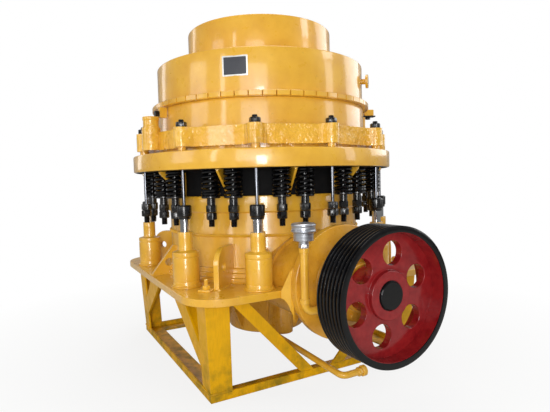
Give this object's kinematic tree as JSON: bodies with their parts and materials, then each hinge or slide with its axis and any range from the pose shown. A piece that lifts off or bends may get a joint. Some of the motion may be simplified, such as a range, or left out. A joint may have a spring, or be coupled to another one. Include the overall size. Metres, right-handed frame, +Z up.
{
  "type": "spring cone crusher on a stand",
  "caption": "Spring cone crusher: open feed hopper over an adjusting bowl on a spring-held ring, round main frame with jacks, side sheave on a countershaft, on a welded stand.",
  "frame": {"origin": "on the floor under the vertical crushing axis, at the middle of the stand's base rails", "axes": "+Z up along the crushing axis, -Y towards the sheave, +X to the right seen from the sheave"},
  "size_m": [1.8, 2.2598, 2.194],
  "materials": {
    "machine_paint": "glossy ochre-yellow machine enamel",
    "stand_paint": "lemon-yellow paint, brushed on, with olive grime in the corners",
    "blackened_steel": "black enamel on steel",
    "chrome_rod": "hard chrome, polished",
    "bright_steel": "turned steel",
    "sheave_black": "glossy black enamel in the grooves",
    "sheave_red": "glossy dark red enamel",
    "breather_metal": "dull silver-grey pressed metal",
    "nameplate_metal": "thin plate, dark field with a pale rim, blank",
    "liner_steel": "bare manganese steel casting"
  },
  "bodies": {
    "main_frame": {"stand_posts": "stand_paint", "stand_rails": "stand_paint", "stand_braces_front_and_back": "stand_paint", "stand_braces_left_and_right": "stand_paint", "base_plate": "machine_paint", "plate_webs": "machine_paint", "frame_bottom": "machine_paint", "main_frame": "machine_paint", "chamber_wall": "machine_paint", "frame_band": "machine_paint", "frame_flange": "machine_paint", "flange_ribs": "machine_paint", "lifting_lugs": "machine_paint", "side_gussets": "machine_paint", "hold_down_bolts": "machine_paint", "jack_barrels": "machine_paint", "countershaft_housing": "machine_paint", "countershaft_endplate": "machine_paint", "breather_pipe": "machine_paint", "breather_cup": "breather_metal", "oil_return_pipe": "machine_paint", "crushing_head": "liner_steel", "feed_plate": "liner_steel"},
    "ring": {"adjusting_ring": "machine_paint", "tie_bolts": "blackened_steel", "rod_collars": "blackened_steel", "lower_nuts": "blackened_steel", "jack_rods": "chrome_rod", "spring_bolts": "blackened_steel", "springs": "blackened_steel", "ring_pushers": "machine_paint"},
    "bowl": {"lower_drum": "machine_paint", "bowl_skirt": "machine_paint", "bowl_liner": "liner_steel", "toothed_ring": "machine_paint", "cap_drum": "machine_paint", "cap_top": "machine_paint", "feed_hopper": "machine_paint", "feed_cone": "machine_paint", "nameplate": "nameplate_metal", "cap_trunnions": "machine_paint"},
    "sheave": {"countershaft": "bright_steel", "sheave_rim": "sheave_black", "sheave_disc": "sheave_red", "sheave_bush": "blackened_steel"}
  },
  "joints": [
    {"name": "sheave_spin", "type": "hinge", "parent": "main_frame", "child": "sheave", "pos_m": [0, -1.1, 0.601], "axis": [0, -1, 0], "continuous": true},
    {"name": "ring_lift", "type": "slide", "parent": "main_frame", "child": "ring", "axis": [0, 0, 1], "range_m": [0, 0.05], "deforming": ["springs"]},
    {"name": "bowl_turn", "type": "hinge", "parent": "ring", "child": "bowl", "pos_m": [0, 0, 1.5], "axis": [0, 0, 1], "continuous": true}
  ]
}
